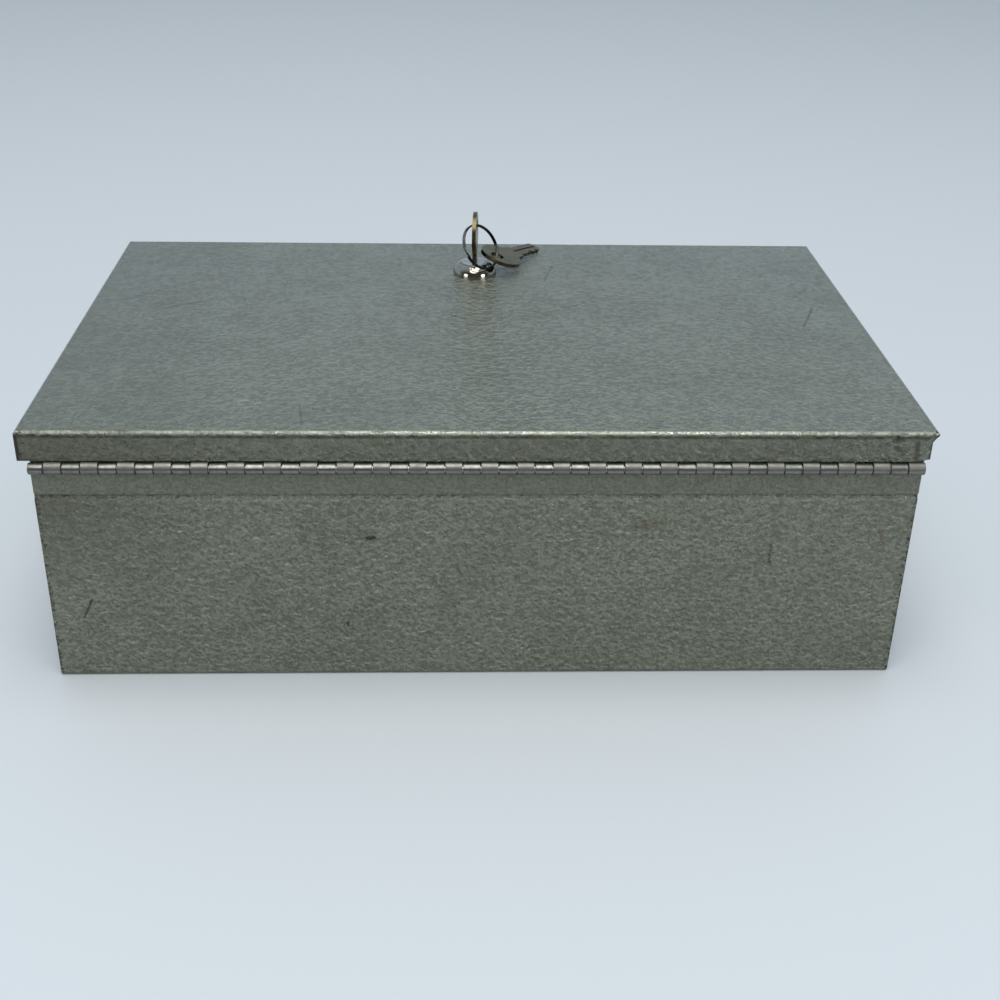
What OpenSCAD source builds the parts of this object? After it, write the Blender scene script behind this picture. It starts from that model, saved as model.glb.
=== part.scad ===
// Deed box: a sheet-steel box for papers with a lid on a continuous hinge,
// a key lock in the lid, two keys and a split ring. Sizes are in millimetres.
// +Z is up, the lock side faces -Y and the hinge side faces +Y. The origin is
// on the ground, under the middle of the closed box.

/* [Body] */
// Width of the body, outside one end panel to outside the other
body_w = 316.5; // [220:0.5:420]
// Depth of the body, outside the front wall to outside the rear wall
body_d = 203.2; // [150:0.1:300]
// Height of the closed box, ground to the top of the lid
box_h = 103; // [80:0.5:180]
// Thickness of the sheet that the body and the lid are folded from
sheet_t = 0.9; // [0.7:0.05:1.2]
// Outside radius of the bends in the body
body_bend_r = 1.6; // [1.4:0.1:3]
// Height of the hem that is folded in along the rim
hem_h = 6; // [4:0.5:9]
// Width of the flanges that weld an end panel into the body
end_flange = 9; // [6:0.5:14]
// Corner cut away where two flanges of an end panel meet
flange_notch = 11; // [10:0.5:20]

/* [Lid] */
// Gap between an end panel and the lid's side flange
lid_side_gap = 2.85; // [1.5:0.05:4]
// Gap between the front wall and the lid's front flange
lid_front_gap = 3; // [1.5:0.1:5]
// Height of the lid's flanges
lid_flange_h = 11.5; // [9:0.1:16]
// Outside radius of the lid's bends
lid_bend_r = 1.8; // [1.4:0.1:3]
// Gap between the rim of the body and the closed lid
rim_gap = 0.3; // [0.3:0.05:1]
// Width of the butt seam at each corner of the lid
corner_seam = 0.25; // [0.1:0.05:0.5]

/* [Hinge] */
// Length of one knuckle with its gap
knuckle_pitch = 6.35; // [5:0.05:12.7]
// Gap between two knuckles
knuckle_gap = 0.3; // [0.2:0.05:0.6]
// Radius of the hinge pin
pin_r = 1.25; // [1:0.05:1.6]
// Radial clearance of the pin in its knuckles
pin_fit = 0.05; // [0.02:0.01:0.1]
// Thickness of the hinge leaves
leaf_t = 0.8; // [0.6:0.05:1]
// How far the body's leaf reaches below the pin's axis
body_leaf_h = 11.2; // [8:0.1:16]
// How far the lid's leaf reaches above the pin's axis
lid_leaf_h = 12; // [8:0.1:12.5]
// How far the pin's axis lies below the edge of the lid's rear flange
pin_drop = 2.8; // [2.6:0.1:4]
// Gap between the moving leaf and the rear wall behind it
leaf_clear = 0.3; // [0.3:0.05:0.6]
// Height of the step that sinks the rear wall behind the hinge
joggle_h = 1.4; // [1:0.1:3]

/* [Lock] */
// Distance from the front of the lid back to the lock's axis
lock_set = 42.2; // [34:0.1:60]
// How far the lock stands off the middle of the lid, towards -X
lock_off = 0.6; // [0:0.1:10]
// Radius of the lock's head where it meets the lid
head_r = 9.8; // [9.4:0.1:12]
// Height of the steep side of the lock's head
head_side_h = 3.5; // [2:0.1:5]
// Radius of the shoulder round the top of the head
shoulder_r = 1.9; // [1:0.1:2.5]
// Radius of the lock's threaded barrel
barrel_thread_r = 8; // [7.6:0.1:9]
// Length of the barrel below the top of the lid
barrel_len = 15.2; // [14.8:0.1:20]
// Distance across the two flats of the barrel
barrel_flats = 14.4; // [13.8:0.1:15.2]
// Pitch of the grooves that stand for the barrel's thread
thread_pitch = 1.5; // [1:0.1:2]
// Radius of the plug that the key turns
plug_r = 5.4; // [5.2:0.05:5.7]
// Radial clearance of the plug in the barrel
plug_fit = 0.05; // [0.02:0.01:0.1]
// Number of disc tumblers
tumbler_count = 5; // [3:1:5]
// Distance from one tumbler to the next
tumbler_pitch = 2.4; // [2.2:0.1:2.6]
// Thickness of a tumbler
tumbler_t = 1; // [0.8:0.1:1.2]
// Width of a tumbler
tumbler_w = 6; // [5.4:0.1:6.4]
// How far the cam reaches from the lock's axis
cam_len = 32; // [29:0.5:34]
// Thickness of the cam
cam_t = 2; // [1.5:0.1:2.5]
// Angle that the plug and its cam turn through
cam_travel = 90; // [80:5:100]
// How far the key is already turned from the unlocked stop
key_turn = 5; // [0:0.5:10]

/* [Strike] */
// Width of the strike that the cam turns under
strike_w = 26; // [16:0.5:40]
// How far the strike's tongue reaches from the front wall
strike_reach = 11; // [9:0.5:14]
// Height of the strike's welded leg
strike_leg_h = 16; // [8:0.5:25]
// Thickness of the strike
strike_t = 1.2; // [1:0.1:2]
// Gap between the cam and the tongue above it
strike_gap = 0.5; // [0.3:0.1:1]

/* [Keys] */
// Thickness of a key
key_t = 1.7; // [1.4:0.1:2]
// Radius of a key's round bow
bow_r = 9.4; // [8:0.1:10]
// Length of the neck between shoulder and bow
neck_h = 3.6; // [3:0.1:6]
// Width of a key's neck
neck_w = 9.2; // [8:0.1:11]
// Radius of the hole in a key's bow
key_hole_r = 3; // [2.9:0.05:3.2]
// Metal left between that hole and the top of the bow
hole_edge = 2.7; // [2.5:0.1:3]
// How far a key's blade ends short of the end of the barrel
tip_gap = 1.6; // [1.4:0.1:3]
// Width of a key's blade
blade_w = 6.6; // [6:0.1:7]
// Clearance of the blade in its keyway, each side
key_fit = 0.1; // [0.05:0.01:0.2]
// How far a cut goes into the blade at its deepest
cut_depth = 1.6; // [0.8:0.1:2]

/* [Split ring] */
// Radius of the split ring to the middle of its wire
ring_r = 10; // [9.6:0.1:10.4]
// Radius of the ring's wire
ring_wire_r = 0.45; // [0.35:0.05:0.5]
// Turn of the ring about the upright key
ring_turn = 50; // [48:1:52]
// Lean of the ring away from upright
ring_lean = 31; // [30:1:34]
// How far the ring has slipped round through the hole
ring_slip = -13; // [-15:1:-11]

/* [Hidden] */
$fn = 48;
EPS = 0.01;

// Hinge, worked out from the pin outwards
knuckle_bore_r = pin_r + pin_fit;
knuckle_r = knuckle_bore_r + leaf_t;
pin_off = knuckle_r - leaf_t;
knuckle_count = ceil(body_w / knuckle_pitch);

// Places of the walls
rear_y = (body_d + lid_front_gap + sheet_t - pin_off - knuckle_r) / 2;
front_y = rear_y - body_d;
rim_z = box_h - sheet_t - rim_gap;
pin_y = rear_y + pin_off;
pin_z = box_h - lid_flange_h - pin_drop;
lid_w = body_w + 2 * (lid_side_gap + sheet_t);
lid_rear_y = rear_y + sheet_t;
lid_front_y = front_y - lid_front_gap - sheet_t;
lid_edge_z = box_h - lid_flange_h;

// The rear wall steps in behind the welded leaf, and again behind the moving one
leaf_seat_y = rear_y - leaf_t;
upper_wall_y = leaf_seat_y - leaf_clear;
leaf_foot_z = pin_z - body_leaf_h;
crevice_h = 0.4;
joggle_top_z = leaf_foot_z - crevice_h;
joggle_foot_z = joggle_top_z - joggle_h;
second_step_z = pin_z - knuckle_r - 1;
second_step_h = 1;

// Hem of an end panel, held clear of the hems beside it
hem_end_gap = 0.3;

// Lock, measured from the top of the lid
lock_x = -lock_off;
lock_y = lid_front_y + lock_set;
head_h = head_side_h + shoulder_r;
head_taper = 0.5;
plug_bore_r = plug_r + plug_fit;
plug_face_r = plug_r + 0.8;
plug_face_t = 1.2;
plug_end_z = -barrel_len - 0.1;
tail_w = 6;
tail_play = 0.05;
washer_t = 0.8;
nut_t = 3.5;
nut_flats = 22;
nut_fit = 0.05;
stop_t = 1;
cam_top_z = plug_end_z - stop_t - 0.1;
cam_foot_z = cam_top_z - cam_t;
tail_end_z = cam_foot_z + 0.2;
spring_washer_t = 0.9;
screw_r = 1.9;
screw_head_r = 3.9;
screw_head_h = 2.2;
screw_len = 5;
tumbler_play = 0.05;
first_tumbler_z = -2;
arm_reach = 4.7;
arm_w = 1.1;
spring_x = 3.85;
spring_r = 0.5;
spring_wire_r = 0.15;
spring_turns = 4;
spring_low_y = -2.5;
spring_high_y = 1;
stop_tab_half = 30;
stop_gap_deg = 1.5;

// Keys, measured along the key from its shoulder
blade_len = head_h + barrel_len - tip_gap;
bow_c = neck_h + bow_r;
hole_v = bow_c + bow_r - hole_edge - key_hole_r;
key_hole_z = head_h + hole_v;

// The spare key hangs on the ring, and its tip comes down nearly to the lid
spare_at = 120;
spare_yaw = 57;
spare_pitch = 8.5;
spare_roll = 17;

function turned_x(a, p) = [p[0], p[1] * cos(a) - p[2] * sin(a), p[1] * sin(a) + p[2] * cos(a)];
function turned_y(a, p) = [p[0] * cos(a) + p[2] * sin(a), p[1], p[2] * cos(a) - p[0] * sin(a)];
function turned_z(a, p) = [p[0] * cos(a) - p[1] * sin(a), p[0] * sin(a) + p[1] * cos(a), p[2]];
function ring_point(a) = [0, 0, key_hole_z]
    + turned_z(ring_turn, turned_x(ring_lean, turned_y(ring_slip,
        [ring_r * sin(a), 0, ring_r * cos(a) - ring_r])));

spare_hole = ring_point(-spare_at);

// Finish colours
PAINT = "#7e8583";
HINGE_METAL = "#9a9f9d";
STEEL = "#b3b5b4";
CHROME = "#d8dadb";
BRASS = "#b7a45c";
KEY_METAL = "#a39a74";
DARK_STEEL = "#5b5d5e";

// A rectangle whose named corners are rounded to radius r
module soft_rect(low, high, r, corners) {
    difference() {
        translate(low)
            square(high - low);
        for (c = corners)
            translate([c[0] > 0 ? high[0] : low[0], c[1] > 0 ? high[1] : low[1]])
                difference() {
                    square(2 * r, center = true);
                    translate(-r * c)
                        circle(r);
                }
    }
}

// Flat shapes drawn in Y and Z are pushed out along X
module along_x(from, to) {
    translate([from, 0, 0])
        rotate([90, 0, 90])
            linear_extrude(to - from)
                children();
}

// Flat shapes drawn in X and Z are pushed out along Y
module along_y(from, to) {
    translate([0, to, 0])
        rotate([90, 0, 0])
            linear_extrude(to - from)
                children();
}

module slab(low, high) {
    translate(low)
        cube(high - low);
}

// A folded-in hem: the doubled sheet below the rim with its round top.
// side is 1 where the hem lies on the +Y side of the wall's outer face at y.
module hem_section(y, side) {
    hem_y = y + side * sheet_t;
    translate([hem_y, rim_z - sheet_t])
        circle(sheet_t);
    translate([min(hem_y, hem_y + side * sheet_t), rim_z - hem_h])
        square([sheet_t, hem_h - sheet_t]);
}

// Section of the one sheet that makes the front wall, the bottom and the rear wall
module wrap_section() {
    inner = body_bend_r - sheet_t;
    difference() {
        soft_rect([front_y, 0], [rear_y, joggle_foot_z], body_bend_r, [[-1, -1], [1, -1]]);
        soft_rect([front_y + sheet_t, sheet_t], [rear_y - sheet_t, joggle_foot_z + 1], inner,
            [[-1, -1], [1, -1]]);
    }
    translate([front_y, joggle_foot_z - EPS])
        square([sheet_t, rim_z - sheet_t - joggle_foot_z + EPS]);
    hem_section(front_y, 1);
    polygon([
        [rear_y, joggle_foot_z - EPS],
        [rear_y, joggle_foot_z],
        [leaf_seat_y, joggle_top_z],
        [leaf_seat_y, second_step_z],
        [upper_wall_y, second_step_z + second_step_h],
        [upper_wall_y, rim_z - sheet_t],
        [upper_wall_y - sheet_t, rim_z - sheet_t],
        [upper_wall_y - sheet_t, second_step_z + second_step_h],
        [leaf_seat_y - sheet_t, second_step_z],
        [leaf_seat_y - sheet_t, joggle_top_z],
        [rear_y - sheet_t, joggle_foot_z],
        [rear_y - sheet_t, joggle_foot_z - EPS]]);
    hem_section(upper_wall_y, -1);
}

module body_wrap() {
    color(PAINT)
        along_x(-body_w / 2, body_w / 2)
            wrap_section();
}

// An end panel: a shallow pan whose flanges weld inside the wrapped sheet
module end_panel() {
    out_x = body_w / 2;
    in_x = out_x - end_flange;
    low_y = front_y + sheet_t;
    high_y = rear_y - sheet_t;
    inner = body_bend_r - sheet_t;
    hem_foot_z = rim_z - hem_h;
    color(PAINT)
        difference() {
            union() {
                difference() {
                    intersection() {
                        along_x(in_x, out_x)
                            soft_rect([low_y, sheet_t], [high_y, rim_z], inner, [[-1, -1], [1, -1]]);
                        along_y(low_y, high_y)
                            soft_rect([in_x, sheet_t], [out_x, rim_z - sheet_t], body_bend_r, [[1, -1]]);
                        linear_extrude(rim_z)
                            soft_rect([in_x, low_y], [out_x, high_y], body_bend_r, [[1, -1], [1, 1]]);
                    }
                    intersection() {
                        along_y(low_y + sheet_t, high_y - sheet_t)
                            soft_rect([in_x - 1, 2 * sheet_t], [out_x - sheet_t, rim_z], inner, [[1, -1]]);
                        linear_extrude(rim_z)
                            soft_rect([in_x - 1, low_y + sheet_t], [out_x - sheet_t, high_y - sheet_t],
                                inner, [[1, -1], [1, 1]]);
                    }
                }
                // The hem along the rim
                along_y(low_y + sheet_t + hem_end_gap, upper_wall_y - 2 * sheet_t - hem_end_gap)
                    union() {
                        translate([out_x - sheet_t, rim_z - sheet_t])
                            circle(sheet_t);
                        translate([out_x - 2 * sheet_t, hem_foot_z])
                            square([sheet_t + EPS, hem_h - sheet_t]);
                    }
            }
            // Notches where the flanges would meet at the bottom corners
            slab([in_x - 1, low_y - 1, 0], [out_x - body_bend_r, low_y + flange_notch, flange_notch]);
            slab([in_x - 1, high_y - flange_notch, 0], [out_x - body_bend_r, high_y + 1, flange_notch]);
            // The flanges stop below the hem in front and below the step at the rear
            slab([in_x - 1, low_y - 1, hem_foot_z - 2], [out_x - body_bend_r, low_y + sheet_t + 1, rim_z]);
            slab([in_x - 1, high_y - sheet_t - 1, joggle_foot_z - 2], [out_x - body_bend_r, high_y + 1, rim_z]);
            // The edges are cut back beside the front hem and the stepped rear wall
            slab([in_x - 1, low_y - 1, hem_foot_z - 1], [out_x + 1, low_y + sheet_t, rim_z + 1]);
            slab([in_x - 1, upper_wall_y - 2 * sheet_t, joggle_foot_z - 1], [out_x + 1, high_y + 1, rim_z + 1]);
        }
}

module end_panel_right() {
    end_panel();
}

module end_panel_left() {
    mirror([1, 0, 0])
        end_panel();
}

// Knuckles are counted from the -X end; the lid's leaf has the even ones, and the
// last one at +X is whatever length of the strip is left
function knuckle_start(i) = -body_w / 2 + i * knuckle_pitch + knuckle_gap / 2;
function knuckle_end(i) = min(knuckle_start(i) + knuckle_pitch - knuckle_gap, body_w / 2);

// One leaf of the hinge: a flat strip with a knuckle at every second place.
// up is 1 for the leaf that rises to the lid and -1 for the one down on the body.
module hinge_leaf(up, reach, first) {
    notch_h = knuckle_r + leaf_clear;
    low_z = up > 0 ? 0 : -reach;
    color(HINGE_METAL)
        translate([0, pin_y, pin_z])
            difference() {
                union() {
                    slab([-body_w / 2, -knuckle_r, low_z],
                        [body_w / 2, leaf_t - knuckle_r, low_z + reach]);
                    for (i = [first:2:knuckle_count - 1])
                        translate([knuckle_start(i), 0, 0])
                            rotate([0, 90, 0])
                                cylinder(r = knuckle_r, h = knuckle_end(i) - knuckle_start(i));
                }
                // The pin's bore, and a notch round each knuckle of the other leaf
                translate([-body_w / 2 - 1, 0, 0])
                    rotate([0, 90, 0])
                        cylinder(r = knuckle_bore_r, h = body_w + 2);
                for (i = [1 - first:2:knuckle_count - 1])
                    slab([knuckle_start(i) - knuckle_gap, -knuckle_r - 1, min(0, up * notch_h) - EPS],
                        [knuckle_end(i) + knuckle_gap, knuckle_r + 1, max(0, up * notch_h) + EPS]);
            }
}

module hinge_leaf_body() {
    hinge_leaf(-1, body_leaf_h, 1);
}

module hinge_leaf_lid() {
    hinge_leaf(1, lid_leaf_h, 0);
}

module hinge_pin() {
    color(STEEL)
        translate([-body_w / 2 + knuckle_gap, pin_y, pin_z])
            rotate([0, 90, 0])
                cylinder(r = pin_r, h = body_w - 2 * knuckle_gap);
}

// The strike: an angle welded to the front wall, whose tongue holds the cam down
module strike_plate() {
    wall_y = front_y + sheet_t;
    tongue_z = box_h + cam_top_z + strike_gap;
    top_z = tongue_z + strike_t;
    color(STEEL)
        intersection() {
            along_x(lock_x - strike_w / 2, lock_x + strike_w / 2)
                difference() {
                    soft_rect([wall_y, top_z - strike_leg_h], [wall_y + strike_reach, top_z],
                        2 * strike_t, [[-1, 1]]);
                    soft_rect([wall_y + strike_t, top_z - strike_leg_h - 1],
                        [wall_y + strike_reach + 1, tongue_z], strike_t, [[-1, 1]]);
                }
            linear_extrude(box_h)
                soft_rect([lock_x - strike_w / 2, wall_y], [lock_x + strike_w / 2, wall_y + strike_reach],
                    3, [[-1, 1], [1, 1]]);
        }
}

// The hole in the lid and the barrel share this shape: a circle with two flats
module flatted_circle(r, flats) {
    intersection() {
        circle(r);
        square([flats, 2 * r + 2], center = true);
    }
}

module lid_block(inset, depth) {
    r = lid_bend_r - inset;
    low_z = lid_edge_z - depth;
    intersection() {
        along_x(-lid_w / 2 + inset, lid_w / 2 - inset)
            soft_rect([lid_front_y + inset, low_z], [lid_rear_y - inset, box_h - inset], r, [[-1, 1], [1, 1]]);
        along_y(lid_front_y + inset, lid_rear_y - inset)
            soft_rect([-lid_w / 2 + inset, low_z], [lid_w / 2 - inset, box_h - inset], r, [[-1, 1], [1, 1]]);
    }
}

module lid_shell() {
    hole_fit = 0.15;
    color(PAINT)
        difference() {
            lid_block(0, 0);
            lid_block(sheet_t, 1);
            translate([lock_x, lock_y, box_h - 2 * sheet_t])
                linear_extrude(3 * sheet_t)
                    flatted_circle(barrel_thread_r + hole_fit, barrel_flats + 2 * hole_fit);
            // Butt seams where the side flanges meet the front and rear ones
            for (side = [-1, 1])
                for (y = [lid_front_y + sheet_t, lid_rear_y - sheet_t - corner_seam])
                    translate([side * (lid_w / 2 - sheet_t / 2) - sheet_t, y, lid_edge_z - 1])
                        cube([2 * sheet_t, corner_seam, lid_flange_h - lid_bend_r]);
        }
}

module at_lock() {
    translate([lock_x, lock_y, box_h])
        children();
}

// What turns with the key stands a little past the unlocked stop
module on_plug() {
    at_lock()
        rotate([0, 0, -key_turn])
            children();
}

// A pie slice between two angles, for stops
module slice(from, to, r) {
    steps = 8;
    polygon(concat([[0, 0]],
        [for (i = [0:steps]) let (a = from + (to - from) * i / steps) r * [cos(a), sin(a)]]));
}

// Half section of the domed head, turned about the lock's axis
module head_section() {
    edge = head_r - head_taper;
    polygon([[0, 0], [head_r, 0], [edge, head_side_h], [edge - shoulder_r, head_h], [0, head_h]]);
    translate([edge - shoulder_r, head_side_h])
        intersection() {
            circle(shoulder_r);
            square(shoulder_r);
        }
}

module lock_housing() {
    groove_w = tumbler_w + 0.6;
    groove_out = plug_bore_r + 1.1;
    lug_in_r = plug_r + 0.6;
    color(CHROME)
        at_lock()
            difference() {
                union() {
                    rotate_extrude()
                        head_section();
                    translate([0, 0, -barrel_len])
                        linear_extrude(barrel_len + EPS)
                            flatted_circle(barrel_thread_r, barrel_flats);
                    // Stop lug behind the barrel
                    translate([0, 0, -barrel_len - stop_t])
                        linear_extrude(stop_t + EPS)
                            difference() {
                                intersection() {
                                    flatted_circle(barrel_thread_r, barrel_flats);
                                    slice(stop_tab_half + stop_gap_deg,
                                        360 - cam_travel - stop_tab_half - stop_gap_deg,
                                        3 * barrel_thread_r);
                                }
                                circle(lug_in_r);
                            }
                }
                translate([0, 0, -barrel_len - 1])
                    cylinder(r = plug_bore_r, h = barrel_len + head_h + 2);
                translate([0, 0, head_h - plug_face_t - plug_fit])
                    cylinder(r = plug_face_r + plug_fit, h = plug_face_t + 1);
                // Grooves that take the tumblers when the key is out
                translate([-groove_w / 2, -groove_out, -barrel_len + 1])
                    cube([groove_w, 2 * groove_out, barrel_len - 1.5]);
                // Thread grooves, from the underside of the nut's reach down
                for (z = [-barrel_len + thread_pitch:thread_pitch:-sheet_t - washer_t - 0.4])
                    translate([0, 0, z])
                        rotate_extrude()
                            polygon([[barrel_thread_r - 0.4, 0], [barrel_thread_r + 0.1, -0.5],
                                [barrel_thread_r + 0.1, 0.5]]);
            }
}

module lock_washer() {
    notches = 12;
    color(STEEL)
        at_lock()
            translate([0, 0, -sheet_t - washer_t])
                difference() {
                    cylinder(r = nut_flats / 2 + 0.8, h = washer_t);
                    translate([0, 0, -1])
                        cylinder(r = barrel_thread_r + nut_fit, h = washer_t + 2);
                    for (i = [0:notches - 1])
                        rotate([0, 0, i * 360 / notches])
                            translate([nut_flats / 2 - 0.6, -0.7, -1])
                                cube([3, 1.4, washer_t + 2]);
                }
}

module lock_nut() {
    color(STEEL)
        at_lock()
            translate([0, 0, -sheet_t - washer_t - nut_t])
                difference() {
                    cylinder(r = nut_flats / 2 / cos(30), h = nut_t, $fn = 6);
                    translate([0, 0, -1])
                        cylinder(r = barrel_thread_r + nut_fit, h = nut_t + 2);
                }
}

function tumbler_z(i) = first_tumbler_z - i * tumbler_pitch;

module lock_plug() {
    slot_t = tumbler_t + 2 * tumbler_play;
    slot_w = tumbler_w + 2 * tumbler_play;
    keyway_w = blade_w + 2 * key_fit;
    keyway_t = key_t + 2 * key_fit;
    color(BRASS)
        on_plug()
            difference() {
                union() {
                    translate([0, 0, head_h - plug_face_t])
                        cylinder(r = plug_face_r, h = plug_face_t);
                    translate([0, 0, plug_end_z])
                        cylinder(r = plug_r, h = head_h - plug_end_z - EPS);
                    translate([-tail_w / 2, -tail_w / 2, tail_end_z])
                        cube([tail_w, tail_w, plug_end_z - tail_end_z + EPS]);
                }
                // Keyway
                translate([-keyway_t / 2, -keyway_w / 2, head_h - blade_len - 0.4])
                    cube([keyway_t, keyway_w, blade_len + 2]);
                // A slot for each tumbler, with room beside it for its arm and spring
                for (i = [0:tumbler_count - 1])
                    translate([0, 0, tumbler_z(i)]) {
                        translate([-slot_w / 2, -plug_r - 1, -slot_t / 2])
                            cube([slot_w, 2 * plug_r + 2, slot_t]);
                        translate([0, spring_low_y - 0.1, -slot_t / 2])
                            cube([arm_reach + tumbler_play, spring_high_y + arm_w - spring_low_y + 0.2, slot_t]);
                        translate([spring_x, spring_low_y - 0.1, 0])
                            rotate([-90, 0, 0])
                                cylinder(r = spring_r + spring_wire_r + 0.05,
                                    h = spring_high_y - spring_low_y + 0.1);
                    }
                translate([0, 0, tail_end_z - 1])
                    cylinder(r = screw_r + tail_play, h = screw_len + 1);
            }
}

// A disc tumbler: a plate as wide as its slot, round at the ends, with a window
// for the blade and an arm that its spring pushes on
module tumbler(i) {
    color(BRASS)
        on_plug()
            translate([0, 0, tumbler_z(i) - tumbler_t / 2])
                linear_extrude(tumbler_t)
                    difference() {
                        union() {
                            intersection() {
                                circle(plug_r - 0.05);
                                square([tumbler_w, 3 * plug_r], center = true);
                            }
                            translate([0, spring_high_y])
                                square([arm_reach, arm_w]);
                        }
                        square([key_t + 2 * key_fit, blade_w + 2 * key_fit], center = true);
                    }
}

module tumbler_1() { tumbler(0); }
module tumbler_2() { tumbler(1); }
module tumbler_3() { tumbler(2); }
module tumbler_4() { tumbler(3); }
module tumbler_5() { tumbler(4); }

// Wire of one coil spring along Y: a six-sided tube on a helix, closed at its ends
module coil_spring(turns, r, wire_r, length) {
    per_turn = 8;
    sides = 6;
    rings = turns * per_turn;
    rise = length - 2 * wire_r;
    points = [for (i = [0:rings]) let (a = 360 * i / per_turn)
        for (s = [0:sides - 1]) let (b = 360 * s / sides, d = r + wire_r * cos(b))
            [d * cos(a), wire_r + rise * i / rings + wire_r * sin(b), d * sin(a)]];
    walls = [for (i = [0:rings - 1], s = [0:sides - 1])
        let (a = i * sides + s, b = i * sides + (s + 1) % sides)
            each [[a, b + sides, b], [a, a + sides, b + sides]]];
    caps = [for (s = [1:sides - 2]) each [[0, s, s + 1],
        [rings * sides, rings * sides + s + 1, rings * sides + s]]];
    polyhedron(points, concat(walls, caps));
}

module tumbler_springs() {
    color(STEEL)
        on_plug()
            for (i = [0:tumbler_count - 1])
                translate([spring_x, spring_low_y, tumbler_z(i)])
                    coil_spring(spring_turns, spring_r, spring_wire_r, spring_high_y - spring_low_y);
}

module tail_hole() {
    square(tail_w + 2 * tail_play, center = true);
}

// The stop washer turns with the plug, and its tab meets the lug behind the barrel
module stop_washer() {
    color(STEEL)
        on_plug()
            translate([0, 0, plug_end_z - stop_t])
                linear_extrude(stop_t)
                    difference() {
                        union() {
                            circle(plug_r + 0.3);
                            intersection() {
                                circle(barrel_thread_r - 0.2);
                                slice(-stop_tab_half, stop_tab_half, 3 * barrel_thread_r);
                            }
                        }
                        tail_hole();
                    }
}

module lock_cam() {
    root_r = 7;
    tip_half = 4.5;
    color(STEEL)
        on_plug()
            translate([0, 0, cam_foot_z])
                linear_extrude(cam_t)
                    difference() {
                        union() {
                            circle(root_r);
                            polygon([[0, -root_r], [cam_len * 0.6, -tip_half], [cam_len - 2, -tip_half],
                                [cam_len, 2 - tip_half], [cam_len, tip_half - 2], [cam_len - 2, tip_half],
                                [cam_len * 0.6, tip_half], [0, root_r]]);
                        }
                        tail_hole();
                    }
}

module cam_spring_washer() {
    color(DARK_STEEL)
        on_plug()
            translate([0, 0, cam_foot_z - spring_washer_t])
                difference() {
                    cylinder(r = screw_head_r + 0.4, h = spring_washer_t);
                    translate([0, 0, -1])
                        cylinder(r = screw_r + 0.2, h = spring_washer_t + 2);
                }
}

module cam_screw() {
    head_top_z = cam_foot_z - spring_washer_t;
    color(STEEL)
        on_plug()
            difference() {
                union() {
                    translate([0, 0, head_top_z - screw_head_h])
                        cylinder(r = screw_head_r, h = screw_head_h);
                    translate([0, 0, head_top_z - EPS])
                        cylinder(r = screw_r, h = spring_washer_t + screw_len - 0.5);
                }
                translate([-screw_head_r - 1, -0.5, head_top_z - screw_head_h - 1])
                    cube([2 * screw_head_r + 2, 1, 2]);
            }
}

// Outline of a key with its shoulder on the X axis and its bow towards +Y
module key_outline() {
    tip = 2;
    half = blade_w / 2;
    difference() {
        union() {
            translate([0, bow_c])
                circle(bow_r);
            translate([-neck_w / 2, 0])
                square([neck_w, bow_c]);
            polygon([[-half, EPS], [-half, tip - blade_len], [tip - half, -blade_len],
                [half - tip, -blade_len], [half, tip - blade_len], [half, EPS]]);
        }
        translate([0, hole_v])
            circle(key_hole_r);
        // Cuts, one over each tumbler
        for (i = [0:tumbler_count - 1])
            let (depth = cut_depth * [0.6, 1, 0.4, 0.8, 0.5][i], v = tumbler_z(i) - head_h)
                translate([half, v])
                    polygon([[-depth, -0.4], [-depth, 0.4], [EPS, 0.4 + depth * 0.6],
                        [1, 0.4 + depth * 0.6], [1, -0.4 - depth * 0.6], [EPS, -0.4 - depth * 0.6]]);
    }
}

// A key stands in X and Z of its own frame: blade down, bow up, thickness along Y
module key() {
    groove_w = 1.6;
    groove_d = 0.4;
    difference() {
        translate([0, key_t / 2, 0])
            rotate([90, 0, 0])
                linear_extrude(key_t)
                    key_outline();
        for (side = [-1, 1])
            translate([-groove_w / 2, side * key_t / 2 - groove_d, -blade_len - 1])
                cube([groove_w, 2 * groove_d, blade_len + 2.5]);
    }
}

module door_key() {
    color(KEY_METAL)
        on_plug()
            translate([0, 0, head_h])
                rotate([0, 0, 90])
                    key();
}

module split_ring() {
    color(DARK_STEEL)
        at_lock()
            translate([0, 0, key_hole_z])
                rotate([0, 0, ring_turn])
                    rotate([ring_lean, 0, 0])
                        rotate([0, ring_slip, 0])
                            translate([0, 0, -ring_r])
                                rotate([90, 0, 0])
                                    rotate_extrude()
                                        for (side = [-1, 1])
                                            translate([ring_r, side * ring_wire_r * 0.9])
                                                circle(ring_wire_r);
}

module spare_key() {
    color(KEY_METAL)
        at_lock()
            translate(spare_hole)
                rotate([0, 0, 180 + spare_yaw])
                    rotate([0, spare_pitch, 0])
                        rotate([spare_roll, 0, 0])
                            rotate([90, 0, 0])
                                rotate([0, -90, 0])
                                    translate([0, 0, -hole_v])
                                        key();
}

body_wrap();
end_panel_left();
end_panel_right();
hinge_leaf_body();
hinge_pin();
strike_plate();
lid_shell();
hinge_leaf_lid();
lock_housing();
lock_washer();
lock_nut();
lock_plug();
tumbler_1();
tumbler_2();
tumbler_3();
tumbler_4();
tumbler_5();
tumbler_springs();
stop_washer();
lock_cam();
cam_spring_washer();
cam_screw();
door_key();
split_ring();
spare_key();
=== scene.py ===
# %% [markdown]
# # A deed box
#
# This is a flat sheet-steel box for papers. Its lid turns on a hinge as long as the box, and a key
# lock sits in the lid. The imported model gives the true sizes, the places and the bodies that move.
# Here each piece gets its finish, and the pieces that show most are modelled again with the bends,
# rolled edges and dents of the real ones.

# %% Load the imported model
from math import cos, pi, radians, sin

import bmesh
import bpy
from mathutils import Matrix, Vector


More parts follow.
